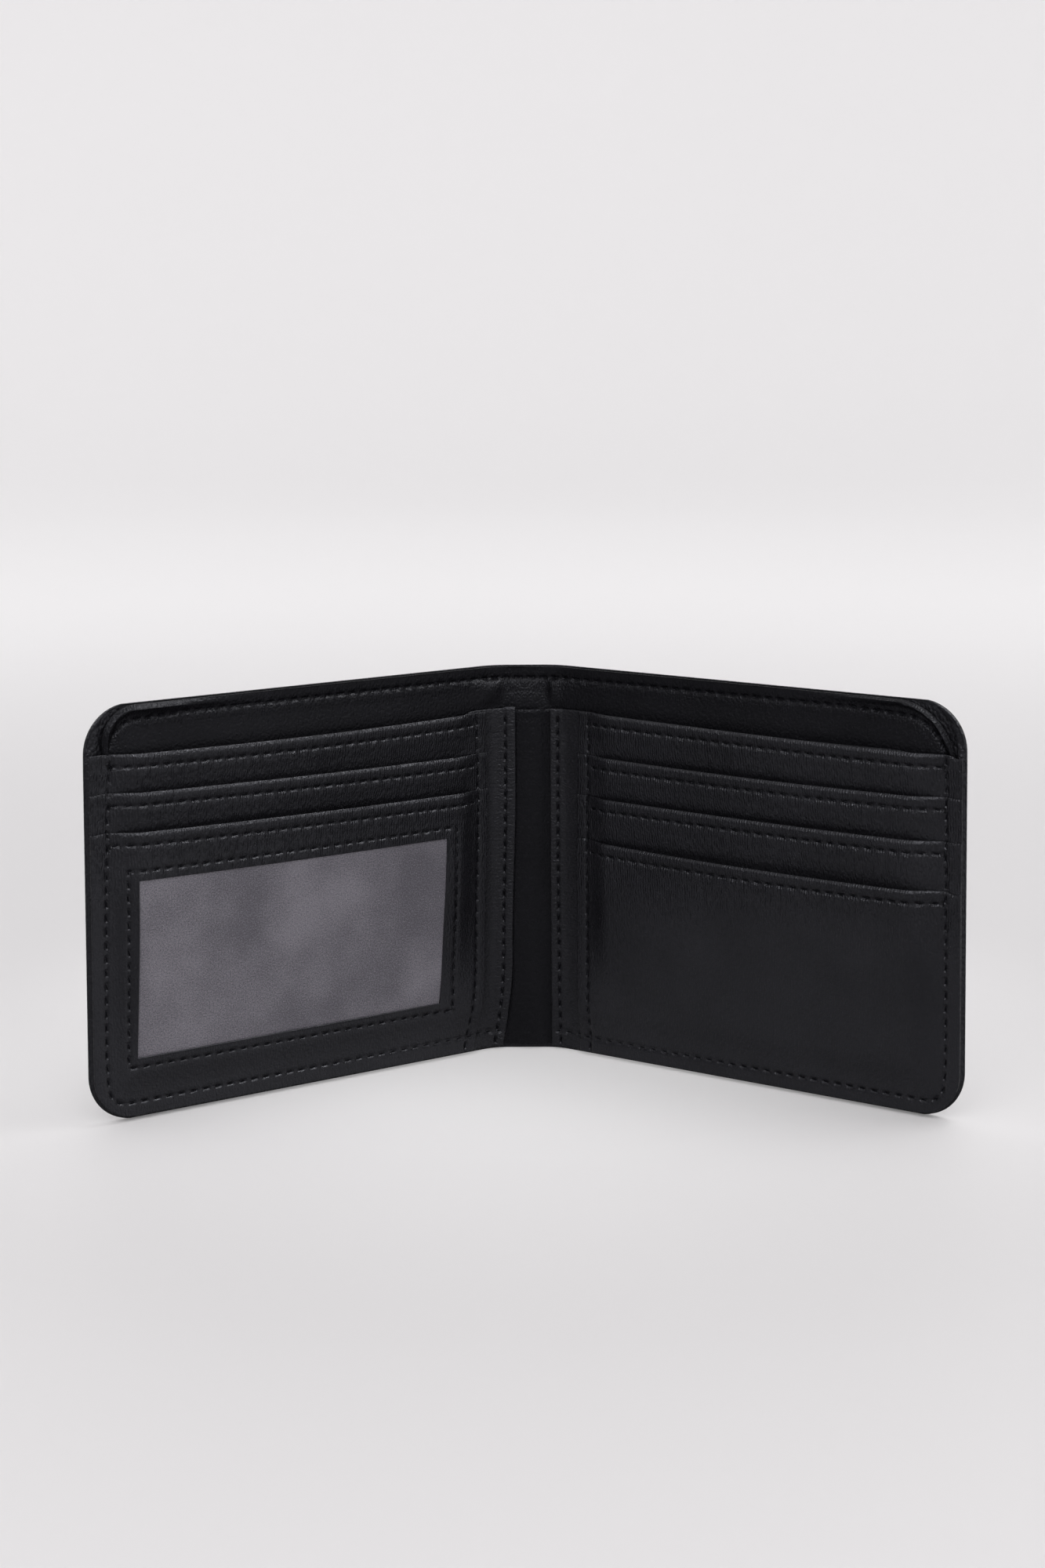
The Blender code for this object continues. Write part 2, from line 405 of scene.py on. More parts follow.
def sheet_object(name, sheet, q_lines, z_lines, gather, looks):
    """The sheet's closed mesh: a front, a back, and a rounded rim between them.

    A sheet that starts at the middle of the spine is flat there, where its other half joins it.
    """
    q, z = sheet.grid(q_lines, z_lines)
    rows, columns = q.shape
    cells = np.ones((rows - 1, columns - 1), bool)
    if sheet.window:
        left, right, low, high = sheet.window
        middle_q = (q_lines[1:] + q_lines[:-1]) / 2
        middle_z = (z_lines[1:] + z_lines[:-1]) / 2
        hole_z = (middle_z > low) & (middle_z < high)
        hole_q = (middle_q > left) & (middle_q < right)
        cells &= ~(hole_z[:, None] & hole_q[None, :])
    every = np.arange(rows * columns)
    grid = every.reshape(rows, columns)
    corners = np.stack([grid[:-1, :-1], grid[:-1, 1:], grid[1:, 1:], grid[1:, :-1]], axis=-1)
    faces, edges = corners[cells], borders(cells, corners)
    q, z = q.ravel(), z.ravel()
    middle, thick = sheet.middle(q, z), sheet.thickness(q, z)

    # Each rim point's outward direction on the sheet
    flat = np.stack([q, z], axis=1)
    along = flat[edges[:, 1]] - flat[edges[:, 0]]
    outward = np.stack([along[:, 1], -along[:, 0]], axis=1)
    outward /= np.linalg.norm(outward, axis=1, keepdims=True)
    if sheet.start == 0.0:
        outward[(edges % columns == 0).all(axis=1)] = 0.0
    direction = np.zeros((len(q), 2))
    np.add.at(direction, edges[:, 0], outward)
    np.add.at(direction, edges[:, 1], outward)
    length = np.linalg.norm(direction, axis=1, keepdims=True)
    direction = np.divide(direction, length, out=np.zeros_like(direction), where=length > 1e-9)
    radius = thick / 2

    rim = np.unique(edges)
    layers = []

    def add(index, degrees):
        """A layer of points on the rim's round or, at 90 and -90, on the front and the back."""
        angle = math.radians(degrees)
        turn = direction[index] * np.minimum(radius[index], RIM_ROUND)[:, None]
        at = flat[index] + turn * (math.cos(angle) - 1)
        at_q, at_z = at[:, 0], at[:, 1]
        depth = middle[index] + radius[index] * math.sin(angle)
        unrolled = (at + turn * math.radians(90 - degrees)) * METRES
        seen = (gather(at_q, at_z), sheet.stitching(at_q, at_z))
        layers.append((place(sheet.side, at_q, at_z, depth), unrolled, *seen))

    add(every, 90)
    for degrees in RIM_LAYERS:
        add(rim, degrees)
    add(every, -90)

    back = len(every) + len(RIM_LAYERS) * len(rim)
    place_in_rim = np.full(len(every), -1)
    place_in_rim[rim] = np.arange(len(rim))
    starts = range(len(every), back, len(rim))
    rings = [edges, *(place_in_rim[edges] + start for start in starts), edges + back]
    quads = [faces, faces[:, ::-1] + back]
    for upper, lower in zip(rings, rings[1:]):
        quads.append(np.stack([upper[:, 1], upper[:, 0], lower[:, 0], lower[:, 1]], axis=1))
    quads = np.concatenate(quads)
    if sheet.side < 0:
        quads = quads[:, ::-1]
    points, uv, gathers, stitched = (np.concatenate(kind) for kind in zip(*layers))
    return mesh_object(name, points, quads, looks, uv, {"gather": gathers, "stitch": stitched})


def mesh_object(name, points, quads, looks, uv=None, values=None, sharp=50.0):
    """A smooth-shaded object from arrays. Points that no face uses are left out."""
    used, quads = np.unique(quads, return_inverse=True)
    quads = quads.reshape(-1, 4)
    points = points[used]
    mesh = bpy.data.meshes.new(name)
    mesh.vertices.add(len(points))
    mesh.vertices.foreach_set("co", points.astype(np.float32).ravel())
    mesh.loops.add(quads.size)
    mesh.loops.foreach_set("vertex_index", quads.ravel().astype(np.int32))
    mesh.polygons.add(len(quads))
    mesh.polygons.foreach_set("loop_start", np.arange(0, quads.size, 4, dtype=np.int32))
    mesh.update(calc_edges=True)
    if uv is not None:
        layer = mesh.uv_layers.new(name="unrolled")
        layer.data.foreach_set("uv", uv[used][quads.ravel()].astype(np.float32).ravel())
    for key, value in (values or {}).items():
        kind, field = ("FLOAT", "value") if value.ndim == 1 else ("FLOAT_VECTOR", "vector")
        attribute = mesh.attributes.new(key, kind, "POINT")
        attribute.data.foreach_set(field, value[used].astype(np.float32).ravel())
    mesh.materials.append(looks)
    mesh.shade_smooth()
    mesh.set_sharp_from_angle(angle=math.radians(sharp))
    mesh.validate()
    piece = bpy.data.objects.new(name, mesh)
    bpy.context.scene.collection.objects.link(piece)
    return piece


# ---------------------------------------------------------------- materials


COOL = (0.90, 0.91, 1.0, 1.0)  # the tint of black leather's shine


class Nodes:
    """A short way to build the nodes of a material or a world."""

    def __init__(self, owner, shader="Principled BSDF"):
        self.owner = owner
        owner.use_nodes = True
        self.tree = owner.node_tree
        self.shader = self.tree.nodes[shader]

    def add(self, kind, inputs=(), **settings):
        node = self.tree.nodes.new("ShaderNode" + kind)
        for key, value in settings.items():
            setattr(node, key, value)
        for key, value in dict(inputs).items():
            if isinstance(value, bpy.types.NodeSocket):
                self.tree.links.new(value, node.inputs[key])
            else:
                node.inputs[key].default_value = value
        return node

    def link(self, output, key):
        self.tree.links.new(output, self.shader.inputs[key])

    def even(self, values):
        """Sets what is the same all over the surface."""
        for key, value in values.items():
            self.shader.inputs[key].default_value = value

    def math(self, operation, first, second=0.0):
        return self.add("Math", {0: first, 1: second}, operation=operation).outputs[0]

    def plus(self, first, second):
        return self.math("ADD", first, second)

    def times(self, first, second):
        return self.math("MULTIPLY", first, second)

    def stretch(self, vector, along_q, along_z):
        scale = {0: vector, 1: (along_q, along_z, 1.0)}
        return self.add("VectorMath", scale, operation="MULTIPLY").outputs[0]

    def millimetres(self):
        """The place on the unrolled sheet, in millimetres."""
        uv = self.add("UVMap", uv_map="unrolled").outputs["UV"]
        return self.stretch(uv, 1 / METRES, 1 / METRES)

    def drift(self, vector, scale, reach):
        """The vector moved about by smooth noise."""
        settings = {"Vector": vector, "Scale": scale, "Detail": 1.0}
        noise = self.add("TexNoise", settings).outputs["Color"]
        moved = self.add("VectorMath", {0: noise, "Scale": reach}, operation="SCALE").outputs[0]
        return self.add("VectorMath", {0: vector, 1: moved}, operation="ADD").outputs[0]

    def noise(self, vector, scale, detail=2.0, roughness=0.5):
        settings = {"Vector": vector, "Scale": scale, "Detail": detail, "Roughness": roughness}
        return self.add("TexNoise", settings).outputs["Fac"]

    def wave(self, vector, scale, way, **more):
        settings = {"Vector": vector, "Scale": scale, **more}
        return self.add("TexWave", settings, bands_direction=way).outputs["Fac"]

    def range(self, value, low, high, first=0.0, last=1.0, **kind):
        ends = {"From Min": first, "From Max": last, "To Min": low, "To Max": high}
        return self.add("MapRange", {"Value": value, **ends}, **kind).outputs[0]

    def rise(self, value, first, last, height):
        """0 before first, height after last, and an even S between them."""
        return self.range(value, 0.0, height, first, last, interpolation_type="SMOOTHSTEP")

    def bump(self, height, reach=1.0, strength=1.0):
        """Bumps of the given height, in units of reach millimetres."""
        settings = {"Height": height, "Distance": reach * METRES, "Strength": strength}
        self.link(self.add("Bump", settings).outputs["Normal"], "Normal")

    def tint(self, factor, dark, light):
        ends = {"Factor": factor, "A": (*dark, 1.0), "B": (*light, 1.0)}
        self.link(self.add("Mix", ends, data_type="RGBA").outputs["Result"], "Base Color")


def new_look(name):
    return Nodes(bpy.data.materials.new(name))


def leather(name, colour, cell, relief, wrinkle, plain, rough, along_z=True, shine_level=0.5):
    """Grained leather.

    cell is a grain's size across and along, in millimetres. relief and wrinkle are the heights
    of the grain and of the softer wrinkles, and plain is the share of them where the leather
    isn't gathered.
    """
    nodes = new_look(name)
    at = nodes.millimetres()
    wide, tall = cell if along_z else cell[::-1]
    bent = nodes.drift(nodes.drift(at, 0.16, 1.1), 0.55, 0.55)
    grain = nodes.add(
        "TexVoronoi",
        {"Vector": nodes.stretch(bent, 1 / wide, 1 / tall), "Scale": 1.0, "Smoothness": 0.35},
        feature="SMOOTH_F1",
        voronoi_dimensions="2D",
    ).outputs["Distance"]
    fine = nodes.noise(at, 2.1, 2.0, 0.6)
    soft = nodes.noise(nodes.stretch(bent, 0.75 / wide, 0.6 / tall), 1.0, 2.0, 0.5)
    soft = nodes.range(soft, -1.0, 1.0, 0.3, 0.7)
    where = nodes.add("Attribute", attribute_name="gather").outputs["Fac"]
    patch = nodes.range(nodes.noise(at, 0.09, 2.0), 0.75, 1.25, 0.3, 0.7)
    share = nodes.range(where, plain, 1.0)
    folded = nodes.times(nodes.range(where, 0.3 * plain, 1.0), patch)
    folds = nodes.add("SeparateXYZ", {0: bent}).outputs[0 if along_z else 1]
    folds = nodes.math("SINE", nodes.times(folds, 2 * math.pi / (1.12 * wide)))
    folds = nodes.times(folds, nodes.range(soft, 0.35, 1.0, -0.5, 0.6))
    folds = nodes.plus(nodes.times(folds, 0.50), nodes.times(soft, 0.25))
    folds = nodes.times(nodes.times(folds, wrinkle), folded)
    height = nodes.times(nodes.times(grain, -relief), share)
    height = nodes.plus(nodes.plus(height, folds), nodes.times(fine, 0.13))
    nodes.bump(nodes.plus(height, needle_holes(nodes)))

    blotch = nodes.range(nodes.noise(at, 0.045, 3.0, 0.55), 0.0, 1.0, 0.3, 0.7)
    nodes.tint(blotch, [c * 0.80 for c in colour], [c * 1.25 for c in colour])
    wear = nodes.range(nodes.noise(at, 0.11, 4.0, 0.6), rough - 0.04, rough + 0.05, 0.3, 0.7)
    pores = nodes.range(grain, 0.0, 0.16, 0.25, 0.75)
    nodes.link(nodes.plus(wear, pores), "Roughness")
    nodes.even({"IOR": 1.47, "Specular IOR Level": shine_level, "Specular Tint": COOL})
    return nodes.owner


# How far the leather goes down, and within what reach: in a stitch's slot and along a seam's line
SLOT = (0.26, 0.34)
LINE = (0.09, 0.60)
SLOT_HALF = 0.62  # of a slot's length


def needle_holes(nodes):
    """The height of the leather round the seams: each stitch draws it down into a short slot."""
    stitch = nodes.add("Attribute", attribute_name="stitch").outputs["Vector"]
    across, along = nodes.add("SeparateXYZ", {0: stitch}).outputs[:2]
    past = nodes.math("ABSOLUTE", nodes.math("SUBTRACT", nodes.math("FRACT", along), 0.5))
    past = nodes.math("SUBTRACT", nodes.times(past, STITCH), SLOT_HALF)
    past = nodes.math("MAXIMUM", past, 0.0)
    across, past = nodes.times(across, across), nodes.times(past, past)
    down = []
    for square, (depth, reach) in ((nodes.plus(across, past), SLOT), (across, LINE)):
        shape = nodes.math("EXPONENT", nodes.times(square, -1 / reach**2))
        down.append(nodes.times(shape, -depth))
    return nodes.plus(*down)


def thread_look(name, colour):
    nodes = new_look(name)
    at = nodes.add("TexCoord").outputs["Object"]
    ply = nodes.wave(at, 900.0, "DIAGONAL", Distortion=1.5, Detail=1.0)
    nodes.bump(ply, 0.05, 0.6)
    nodes.tint(ply, [c * 0.6 for c in colour], colour)
    nodes.even({"Roughness": 0.6, "IOR": 1.42, "Specular IOR Level": 0.08})
    nodes.even({"Specular Tint": (0.85, 0.87, 1.0, 1.0)})
    return nodes.owner


def cloth_look(name, colour):
    """A plain woven lining."""
    nodes = new_look(name)
    at = nodes.millimetres()
    weave = nodes.times(nodes.wave(at, 0.9, "X"), nodes.wave(at, 0.9, "Y"))
    nodes.bump(weave, 0.06)
    nodes.tint(weave, [c * 0.6 for c in colour], [c * 1.4 for c in colour])
    nodes.even({"Roughness": 0.85, "Sheen Weight": 0.2})
    return nodes.owner


def film_look(name):
    """Frosted film with a fine grain and a cloudy tone; the clouds are partly the film's own mottle
    and partly painted highlight and shade, for the uneven shine of a slightly wavy film.
    """
    nodes = new_look(name)
    at = nodes.millimetres()
    cloud_and_painted_sheen = nodes.noise(at, 0.035, 4.0, 0.55)
    speck = nodes.noise(at, 2.9, 4.0, 0.95)
    value = nodes.range(cloud_and_painted_sheen, 0.10, 0.66, 0.36, 0.64)
    value = nodes.plus(value, nodes.range(speck, -1.1, 1.1, 0.3, 0.7))
    # Painted highlight and shade: the cloud's lighter and darker patches go into the film's colour
    nodes.tint(value, (0.071, 0.067, 0.081), (0.217, 0.207, 0.234))
    nodes.bump(speck, 0.06)
    nodes.link(nodes.range(cloud_and_painted_sheen, 0.40, 0.52, 0.3, 0.7), "Roughness")
    nodes.even({"IOR": 1.45})
    return nodes.owner


def board_look(name):
    nodes = new_look(name)
    at = nodes.add("TexCoord").outputs["Object"]
    fibre = nodes.noise(at, 900.0, 4.0, 0.6)
    nodes.tint(fibre, (0.11, 0.08, 0.05), (0.24, 0.19, 0.13))
    nodes.bump(fibre, 0.05, 0.5)
    nodes.even({"Roughness": 0.9})
    return nodes.owner


BLACK = (0.0080, 0.0078, 0.0096)
# Darker than BLACK: partly the thin leather's own black, partly painted shade for the inside of the
# banknote compartment
SHADED_DEEP_BLACK = (0.0046, 0.0045, 0.0057)
OUTER = leather("outer_leather", (0.0065, 0.0063, 0.0080), (0.95, 1.10), 0.30, 0.03, 0.8, 0.36)
INNER = leather("inner_leather", BLACK, (0.57, 1.20), 0.15, 0.115, 0.45, 0.31)
EDGED = leather("side_hemmed_leather", BLACK, (0.50, 0.95), 0.085, 0.045, 0.5, 0.33, along_z=False)
# The thin leather's darker colour and lower shine are partly painted shade inside the banknote
# compartment
SMOOTH = leather("thin_leather_painted_shade", SHADED_DEEP_BLACK, (0.60, 0.80), 0.14, 0.05, 0.7, 0.31, shine_level=0.24)
CLOTH = cloth_look("lining_cloth", (0.006, 0.006, 0.007))
FILM = film_look("frosted_film")
BOARD = board_look("stiff_board")
THREAD_LOOK = thread_look("black_thread", (0.0040, 0.0041, 0.0056))


# ---------------------------------------------------------------- how pieces move


def on_wing(piece, side):
    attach(piece, "right_wing" if side > 0 else "left_wing")


def through_fold(piece, side):
    """Bakes the piece's transform into its mesh. The fold's two ends are worked out, but nothing
    uses them.
    """
    ends = np.array([HALF_SPINE - BEND_START, HALF_SPINE + BEND_END])
    start, end = place(side, ends, 0.0, 0.0)
    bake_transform(piece)


def named(stem, side):
    return stem + ("_right" if side > 0 else "_left")


def across_spine(stem, side, kind="leather"):
    """The name of a sheet that crosses the spine, and the CAD nodes it stands for."""
    return named(stem + "_" + kind, side), named(stem, side), stem + "_spine"


def even(q, z):
    """For a sheet that isn't gathered anywhere."""
    return 0.0 * q


def add_sheet(sheet, q_lines, z_lines, gather, looks, name, *stands_for, slot="inner_leather"):
    """The sheet's object in place of its CAD nodes. The card pockets and the film don't fold."""
    rows = rounded_rows(sheet, z_lines)
    piece = sheet_object(name, sheet, q_lines, rows, gather, looks)
    if sheet.folds:
        through_fold(piece, sheet.side)
    else:
        on_wing(piece, sheet.side)
    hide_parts(*stands_for)
    return piece


# ---------------------------------------------------------------- the sheets


def below_edge(sheet):
    """Gathers that are strongest at a hem's seam and at its edge, and fade downwards."""

    def gather(q, z):
        down = sheet.down(q, z)
        fade = 1.0 - smooth((down - HEM_SEAM) / 17.0)
        return np.where(down < HEM_SEAM, 0.45 + 0.55 * smooth(down / HEM_SEAM), fade)

    return gather


def wing_seams(side):
    """The rows of stitches on one wing that more than one sheet shares."""
    slip = Sheet(side, 0, 0, 0, start=SLIP_START[side])
    right = OUTER_EDGE - SEAM_SIDE
    top = HEIGHT - SEAM_TOP
    # How far the upper side seam leans inwards, and the radii of the seams' upper and lower corner
    lean, corner, low_corner = (1.9, 7.2, 4.6) if side < 0 else (0.6, 11.0, 4.6)
    outer = [(slip.start + slip.swing(SEAM_BOTTOM) + 0.7, SEAM_BOTTOM)]
    outer += arc_points(right - low_corner, SEAM_BOTTOM - 0.6 + low_corner, low_corner, -90, -8)
    outer += [(right + 0.3, 16.0), (right, 44.0), (right - 0.35 * lean, 66.0)]
    outer += [(right - lean, WALL_TOP - 1.2)]
    hem = [(right - lean - 0.1, WALL_TOP + 0.4)]
    hem += arc_points(right - lean - corner, top - 0.7 - corner, corner, 5, 88)
    hem += [(right - lean - corner - 12.0, top - 0.1), (0.0, top)]
    heights = np.append(np.linspace(1.2, 22.0, 12), np.linspace(26.0, WALL_TOP - 0.9, 8))
    inner = [(INNER_SEAM[side] + slip.swing(z), z) for z in heights]
    slip_hem = [(slip.start + SLIP_SEAM + slip.swing(z), z) for z in heights]
    cover = [(0.0, SEAM_BOTTOM), *outer[1:], *hem]
    rows = {"outer": outer, "hem": hem, "inner": inner, "slip": slip_hem, "shell": cover}
    return {name: Seam(points) for name, points in rows.items()}


FOLD = (HALF_SPINE, 4.5)  # the stretch of a grid that needs close lines for the fold


def shell(side, seams):
    """The outer leather, its edge turned in all round, pressed down along its seam."""
    sheet = Sheet(side, 0.0, 0.0, 0.5, high_radius=CORNER)

    def turned_in(q, z):
        """1 on the turned edge, and more where it shows outside the sheets that are sewn to it."""
        right = OUTER_EDGE - CORNER_INSET[side]
        bare = -inside(q, z, right, 0.0, HEIGHT + 2.0, CORNER, SEWN_RADIUS[side])
        swell = smooth(bare / 1.4) * smooth((z - 80.0) / 6.0)
        edge = inside_shell(q, z)
        rim = 2.7 * smooth(edge / 0.8) * (1 - smooth((edge - 1.5) / 0.7)) * smooth((90.0 - z) / 6.0)
        rim = rim * (0.2 + 0.8 * smooth((z - 2.5) / 5.0))  # low along the bottom
        return 1 - smooth((edge - 4.6) / 0.8) + swell + rim * (1 - swell)

    def back(q, z):
        """The outside of the shell: full over the boards, drawn in along the seam."""
        inner = inside_seam(q, z)
        full = 0.45 * smooth(inner / 9.0) * smooth((q - HALF_SPINE) / 9.0)
        crease = 0.12 * np.sin(q * 2.3 + 1.2 * ripple(q, z, 5, 26.0)) * bell(q - HALF_SPINE, 3.4)
        lump = 0.05 * ripple(q, z, 23 + side, 30.0) * smooth(inner / 6.0)
        groove = GROOVE * seams["shell"].groove(q, z)
        return -SHELL_BACK - full + groove + (crease + lump) * smooth(inside_shell(q, z) / 5.0)

    sheet.thickness = lambda q, z: 0.5 + 0.42 * turned_in(q, z)
    sheet.middle = lambda q, z: back(q, z) + sheet.thickness(q, z) / 2
    sheet.back = back
    q_lines = grid_lines(0.0, OUTER_EDGE, 0.8, [FOLD, (OUTER_EDGE - 2.6, 3.0)])
    fine = [(4.7, 1.3), (0, 0.9), (HEIGHT - 3.3, 1.5), (HEIGHT, 0.9)]
    z_lines = grid_lines(0.0, HEIGHT, 0.8, fine)
    gather = lambda q, z: bell(inside_seam(q, z), 2.5)
    names = across_spine("shell", side)
    add_sheet(sheet, q_lines, z_lines, gather, OUTER, *names, slot="outer_leather")
    return sheet


def lining(side):
    """The cloth of the banknote compartment, stretched over the board."""
    sheet = Sheet(side, 1.2, 0.78, 0.16, low=3.0, top=HEIGHT - 4.2, end=OUTER_EDGE - 4.6)
    sheet.high_radius = CORNER
    sheet.sewn_top = True
    sheet.wave = 0.03
    q_lines = grid_lines(0.0, sheet.end, 2.0, [FOLD])
    z_lines = grid_lines(sheet.low, sheet.top, 2.4)
    names = across_spine("lining", side, "cloth")
    piece = add_sheet(sheet, q_lines, z_lines, even, CLOTH, *names, slot="lining_cloth")


def divider(side, seams):
    """The tall sheet behind the pockets, with its own sewn hem round the outer corner."""
    left, radius = side < 0, SEWN_RADIUS[side]
    sheet = Sheet(side, 1.95, 1.15, 0.40, low=1.3, top=HEIGHT - 0.3, end=OUTER_EDGE - INSET)
    sheet.low_radius, sheet.high_radius = CORNER - INSET, radius
    sheet.seed = 11
    sheet.sewn_top = True
    sheet.seams = [seams["hem"], seams["outer"]]
    flat, plain_edge = sheet.middle, sheet.edge
    step = CORNER_INSET[side] - INSET

    def outline(z):
        """The sewn corner is inset where it shows above the pockets."""
        return plain_edge(z) - step * smooth((z - 77.0) / 5.0)

    def within(q, z):
        return inside(q, z, sheet.end - step, 0.0, sheet.top, 0.0, radius)

    def hemmed(q, z):
        """1 on the turned edge along the top and round the outer corner."""
        return smooth((HEM_WIDTH - within(q, z)) / 0.7) * smooth((z - 76.0) / 4.0)

    def roll(q, z):
        """The turned edge is full where it goes round the corner."""
        crest, reach = (1.05, 0.75) if left else (0.75, 0.5)
        round_corner = smooth((z - 81.8) / 2.8) * smooth((q - 70.0) / 35.0)
        return 1.15 * bell(within(q, z) - crest, reach) * round_corner

    def buckled(q, z):
        """Where it folds, the sheet bulges below its sewn hem and buckles in soft folds."""
        past = q - HALF_SPINE
        under = np.clip((HEIGHT - SEAM_TOP - z) / 9.0, 0, 1)
        ridge, size, reach = (0.9, 1.15, 3.4) if left else (-0.6, 0.85, 1.5)
        high = np.clip((HEIGHT - SEAM_TOP - 0.2 - z) / 6.2, 0, 1)
        fold = size * bell(past - ridge, reach) * np.sin(math.pi * high**0.62)
        fold = fold - 0.42 * bell(past + 2.9, 1.8) * np.sin(math.pi * under**0.7)
        pillow = 0.50 * np.sin(math.pi * under) * bell(np.maximum(past - 2.0, 0), 6.0)
        return flat(q, z) + fold + pillow + roll(q, z) / 2 - GROOVE * seams["hem"].groove(q, z)

    sheet.edge = outline
    sheet.thickness = lambda q, z: sheet.thick * (0.8 + 0.5 * hemmed(q, z)) + roll(q, z)
    sheet.middle = buckled
    fine = [(HEIGHT - 3.2, 1.6), (sheet.top, 0.9)]
    q_lines = grid_lines(0.0, sheet.end, EVEN, [(HALF_SPINE, 6.0), (sheet.end - 2.6, 2.6)])
    z_lines = grid_lines(sheet.low, sheet.top, EVEN, fine, steps=[(0.0, 78.0, HIDDEN)])
    gather = lambda q, z: hemmed(q, z) * smooth((within(q, z) - 0.6) / 1.2)
    add_sheet(sheet, q_lines, z_lines, gather, SMOOTH, *across_spine("divider", side))
    return sheet


def front_wall(side, rest, pressed, thick, drop_from, drop_over, **more):
    """A sheet of the compartment's front wall. Its top drops towards the card pockets."""
    sheet = Sheet(side, rest, pressed, thick, end=OUTER_EDGE - INSET, **more)
    sheet.low_radius = CORNER - INSET
    start = INNER_SEAM[side] + drop_from
    sheet.lift = lambda q: -1.2 * smooth((q - start) / drop_over) - smooth((q - 100.0) / 12.0)
    sheet.wave = 0.0
    sheet.wall, sheet.skew = WALL_BOW, SKEW[side]
    return sheet


def inner_panel(side):
    """The front wall of the banknote compartment, bare where it crosses the spine."""
    sheet = front_wall(side, 2.30, 1.45, 0.32, -1.0, 6.0, low=1.2, top=84.5)
    flat = sheet.middle

    def soft(q, z):
        """Soft upright waves where the sheet is bare."""
        x = side * q
        wave = 0.6 + 0.6 * np.cos(2 * math.pi * (x - 0.6) / 12.0 + 0.3 * ripple(q, z, 51, 60.0))
        return flat(q, z) + wave * smooth((8.5 - q) / 4.5)

    def thick(q, z):
        down = sheet.down(q, z)
        bead = 0.40 * bell(down - 0.5, 0.8) * smooth((13 - q) / 5)
        return (sheet.thick + bead) * rounded(down)

    sheet.thickness = thick
    sheet.middle = soft
    q_lines = grid_lines(0.0, sheet.end, EVEN, [FOLD], steps=[(24.0, 400.0, HIDDEN)])
    z_lines = grid_lines(sheet.low, sheet.top, EVEN, [(sheet.top, 0.9)])
    gather = lambda q, z: 0.4 * bell(z - sheet.top, 5.0)
    add_sheet(sheet, q_lines, z_lines, gather, SMOOTH, *across_spine("inner_panel", side))


def slip_pocket(side, seams):
    """The panel that the card pockets are sewn to. Its free edge lies open over the spine."""
    start = SLIP_START[side]
    sheet = front_wall(side, 2.73, 1.75, 0.30, 0.5, 5.0, start=start, low=1.1, top=84.7)
    sheet.hem, sheet.side_hem = HEM_WIDTH, 5.0
    sheet.seams = [seams["slip"], seams["inner"], seams["outer"]]
    flat, level = sheet.middle, sheet.lift

    def raised(q, z):
        """The free edge stands off the spine a little."""
        return flat(q, z) + 0.75 * bell(q - start - sheet.swing(z) - 0.6, 3.2)

    sheet.middle = raised
    sheet.lift = lambda q: level(q) + 0.6 * bell(q - start - 1.4, 2.0) * (side < 0)
    fine = [(start + SLIP_SEAM, 1.5), (start, 0.9), (INNER_SEAM[side], 1.4)]
    q_lines = grid_lines(start, sheet.end, EVEN, fine, steps=[(24.0, 400.0, HIDDEN)])
    z_lines = grid_lines(sheet.low, sheet.top, EVEN, [(sheet.top, 0.9), (SEAM_BOTTOM, 1.3)])
    gather = lambda q, z: 1.0 - 0.4 * smooth((q - start - SLIP_SEAM) / 8.0)
    names = named("slip_pocket_leather", side), named("slip_pocket", side)
    add_sheet(sheet, q_lines, z_lines, gather, EDGED, *names)
    return sheet


# Each card pocket, from the back one to the front one: its CAD node, the height of its open
# edge at the inner seam and at the outer seam, how far that edge sags between them, how far its
# outer corner droops, and how far its outer edge is inset
POCKETS = {
    -1: [
        ("card_pocket_left_1", 84.3, 84.2, 0.45, 0.0, 0.5),
        ("card_pocket_left_2", 74.3, 75.5, 0.10, 0.3, 0.3),
        ("window_panel", 65.6, 66.6, 0.00, 0.2, 0.2),
    ],
    1: [
        ("card_pocket_right_1", 84.7, 83.3, 0.00, 0.7, 0.2),
        ("card_pocket_right_2", 74.4, 73.8, 0.25, 0.2, 0.1),
        ("card_pocket_right_3", 64.5, 63.8, 0.05, 0.1, 0.1),
        ("card_pocket_right_4", 54.0, 52.6, 0.40, 0.6, 0.0),
    ],
}
WINDOW = (HALF_SPINE + 17.0, HALF_SPINE + 98.3, 14.6, 55.5)
WINDOW_MARGINS = (2.7, 2.2)  # from the opening's inner edge, and from its other edges, to the seam


def window_seam():
    left, right, low, high = WINDOW
    left, right = left - WINDOW_MARGINS[0], right + WINDOW_MARGINS[1]
    low, high = low - WINDOW_MARGINS[1], high + WINDOW_MARGINS[1]
    return Seam([(left, low), (right, low), (right, high), (left, high), (left, low)])


